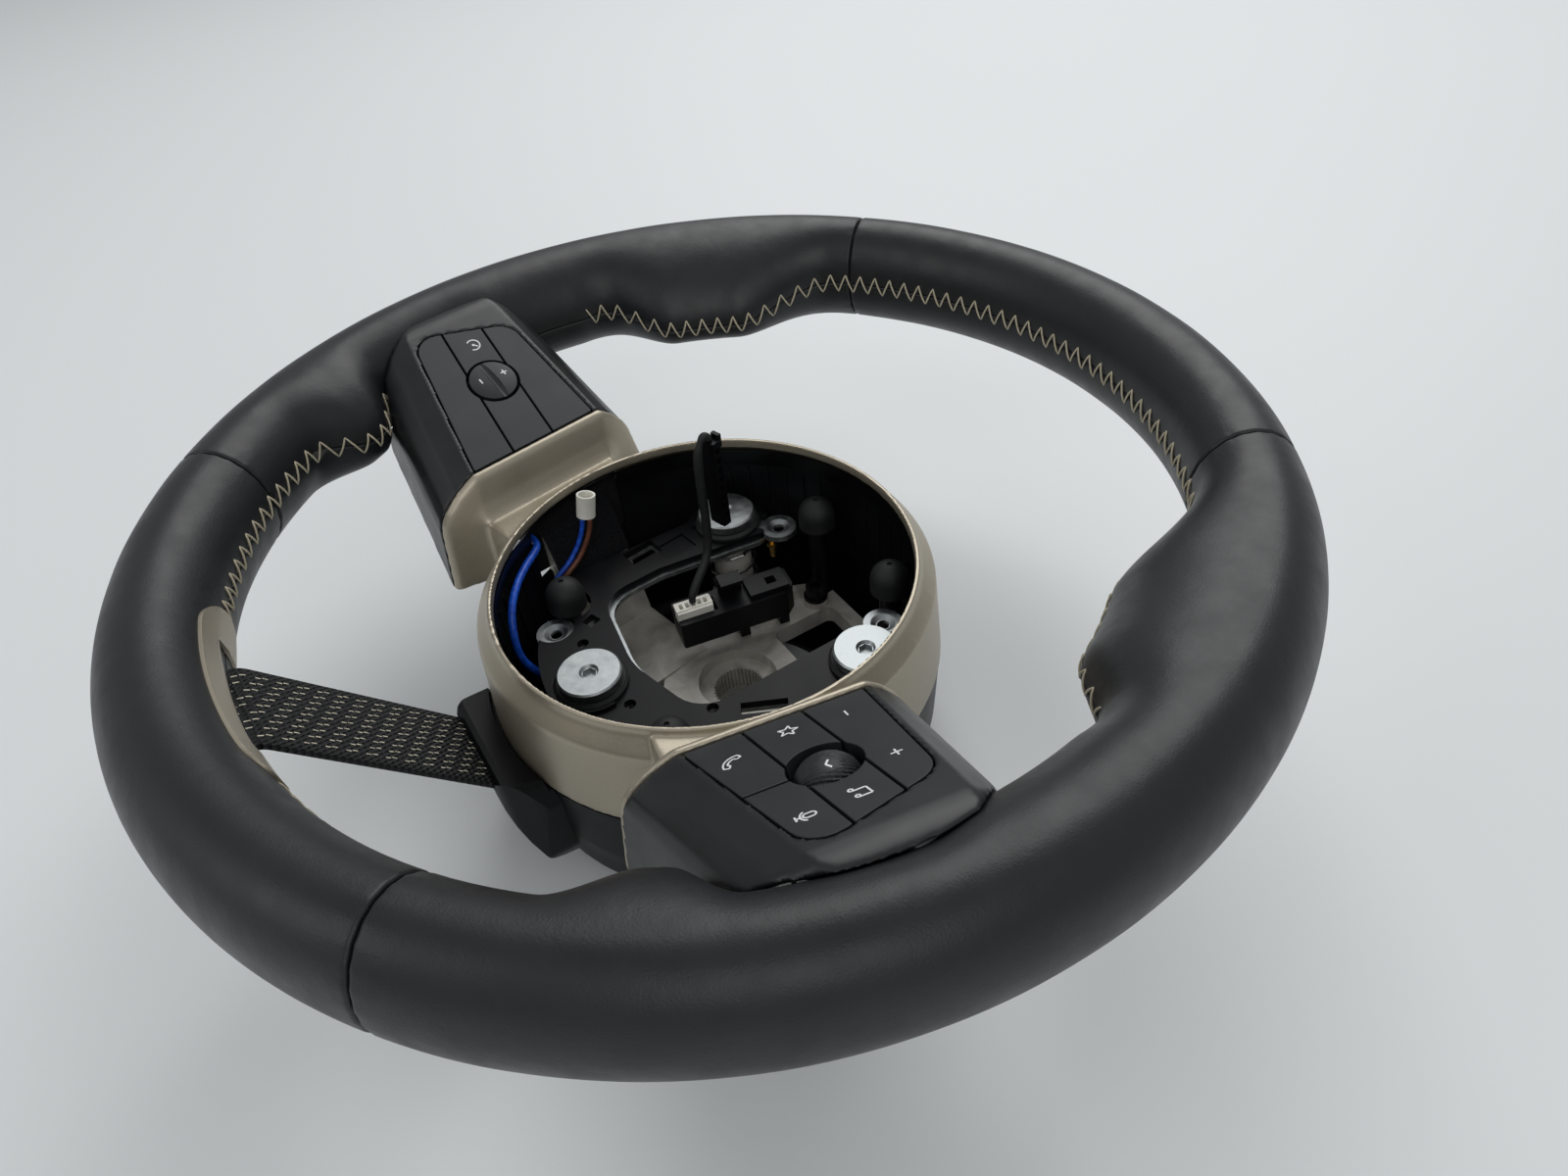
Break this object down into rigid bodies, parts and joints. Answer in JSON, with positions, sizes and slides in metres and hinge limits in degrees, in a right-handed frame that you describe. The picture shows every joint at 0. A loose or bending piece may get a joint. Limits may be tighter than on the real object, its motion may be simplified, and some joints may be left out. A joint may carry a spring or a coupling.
{
  "type": "car steering wheel",
  "caption": "Leather rim steering wheel with champagne hub bezel, thumb rests, switch pods on two spokes and a woven strap as the lower spoke; the airbag module is out, so the hub is open.",
  "frame": {"origin": "on the steering axis at the resting face of the back cover", "axes": "+X to the driver's right, +Y to the top of the wheel, +Z along the steering axis towards the driver"},
  "size_m": [0.37, 0.37, 0.1352],
  "materials": {
    "leather": "satin grained leather",
    "foam": "soft moulded foam",
    "champagne_paint": "satin champagne paint",
    "webbing": "flat woven webbing",
    "black_moulding": "matt moulded",
    "satin_black": "fine satin grain",
    "key_plastic": "satin moulded",
    "circuit_board": "solder mask",
    "grey_rubber": "matt",
    "black_rubber": "matt",
    "cast_alloy": "as cast",
    "zinc_steel": "bright zinc plated",
    "pin_steel": "drawn steel",
    "dark_steel": "black oxide",
    "brass": "turned brass",
    "white_moulding": "moulded",
    "brown_wire": "wire insulation",
    "blue_wire": "wire insulation"
  },
  "bodies": {
    "wheel": {"armature": "cast_alloy", "rim_foam": "foam", "leather_top": "leather", "leather_bottom": "leather", "leather_left": "leather", "leather_right": "leather", "rim_trim": "champagne_paint", "strap": "webbing", "hub_bezel": "champagne_paint", "back_cover": "black_moulding", "switch_housing_left": "satin_black", "switch_housing_right": "satin_black", "switch_board_left": "circuit_board", "switch_board_right": "circuit_board", "key_mat_left": "grey_rubber", "key_mat_right": "grey_rubber", "speed_rocker_pin": "pin_steel", "scroll_roller_pin": "pin_steel", "housing_screws": "pin_steel", "damper_bolts": "zinc_steel", "horn_springs": "pin_steel", "bumper_domes": "black_rubber", "control_box": "black_moulding", "board_plug": "white_moulding", "module_lead": "black_rubber", "module_plug": "black_moulding", "switch_lead": "brown_wire", "lead_sleeve": "white_moulding", "ground_lead": "blue_wire", "feed_lead": "blue_wire", "armature_screw": "dark_steel"},
    "carrier": {"carrier_plate": "black_moulding", "carrier_steel": "zinc_steel", "damper_rings": "black_rubber", "contact_pin": "brass"},
    "mode_key": {"mode_key": "key_plastic"},
    "distance_key": {"distance_key": "key_plastic"},
    "blank_key": {"blank_key": "key_plastic"},
    "set_key": {"set_key": "key_plastic"},
    "phone_key": {"phone_key": "key_plastic"},
    "voice_key": {"voice_key": "key_plastic"},
    "favourite_key": {"favourite_key": "key_plastic"},
    "media_key": {"media_key": "key_plastic"},
    "speed_rocker": {"speed_rocker": "key_plastic"},
    "volume_rocker": {"volume_rocker": "key_plastic"},
    "scroll_roller": {"scroll_roller": "key_plastic"}
  },
  "joints": [
    {"name": "mode_key_press", "type": "slide", "parent": "wheel", "child": "mode_key", "axis": [-0.4155, -0.077, -0.9063], "range_m": [0, 0.0008], "stiffness_N_per_m": 2500, "springref_m": -0.0004},
    {"name": "distance_key_press", "type": "slide", "parent": "wheel", "child": "distance_key", "axis": [-0.4155, -0.077, -0.9063], "range_m": [0, 0.0008], "stiffness_N_per_m": 2500, "springref_m": -0.0004},
    {"name": "blank_key_press", "type": "slide", "parent": "wheel", "child": "blank_key", "axis": [-0.4155, -0.077, -0.9063], "range_m": [0, 0.0008], "stiffness_N_per_m": 2500, "springref_m": -0.0004},
    {"name": "set_key_press", "type": "slide", "parent": "wheel", "child": "set_key", "axis": [-0.4155, -0.077, -0.9063], "range_m": [0, 0.0008], "stiffness_N_per_m": 2500, "springref_m": -0.0004},
    {"name": "phone_key_press", "type": "slide", "parent": "wheel", "child": "phone_key", "axis": [0.4155, -0.077, -0.9063], "range_m": [0, 0.0008], "stiffness_N_per_m": 2500, "springref_m": -0.0004},
    {"name": "voice_key_press", "type": "slide", "parent": "wheel", "child": "voice_key", "axis": [0.4155, -0.077, -0.9063], "range_m": [0, 0.0008], "stiffness_N_per_m": 2500, "springref_m": -0.0004},
    {"name": "favourite_key_press", "type": "slide", "parent": "wheel", "child": "favourite_key", "axis": [0.4155, -0.077, -0.9063], "range_m": [0, 0.0008], "stiffness_N_per_m": 2500, "springref_m": -0.0004},
    {"name": "media_key_press", "type": "slide", "parent": "wheel", "child": "media_key", "axis": [0.4155, -0.077, -0.9063], "range_m": [0, 0.0008], "stiffness_N_per_m": 2500, "springref_m": -0.0004},
    {"name": "speed_rocker_tilt", "type": "hinge", "parent": "wheel", "child": "speed_rocker", "pos_m": [-0.11619, -0.03227, 0.11149], "axis": [-0.891, -0.165, 0.423], "range_deg": [-4, 4], "stiffness_Nm_per_rad": 0.2},
    {"name": "volume_rocker_tilt", "type": "hinge", "parent": "wheel", "child": "volume_rocker", "pos_m": [0.11386, -0.01628, 0.10962], "axis": [0.1821, 0.9833, 0], "range_deg": [-1.6, 1.6], "stiffness_Nm_per_rad": 0.8},
    {"name": "scroll_roller_turn", "type": "hinge", "parent": "wheel", "child": "scroll_roller", "pos_m": [0.11727, -0.03247, 0.10914], "axis": [0.1821, 0.9833, 0], "continuous": true},
    {"name": "horn_press", "type": "slide", "parent": "wheel", "child": "carrier", "axis": [0, 0, -1], "range_m": [0, 0.0015], "stiffness_N_per_m": 6000, "springref_m": -0.001, "deforming": ["horn_springs"]}
  ]
}
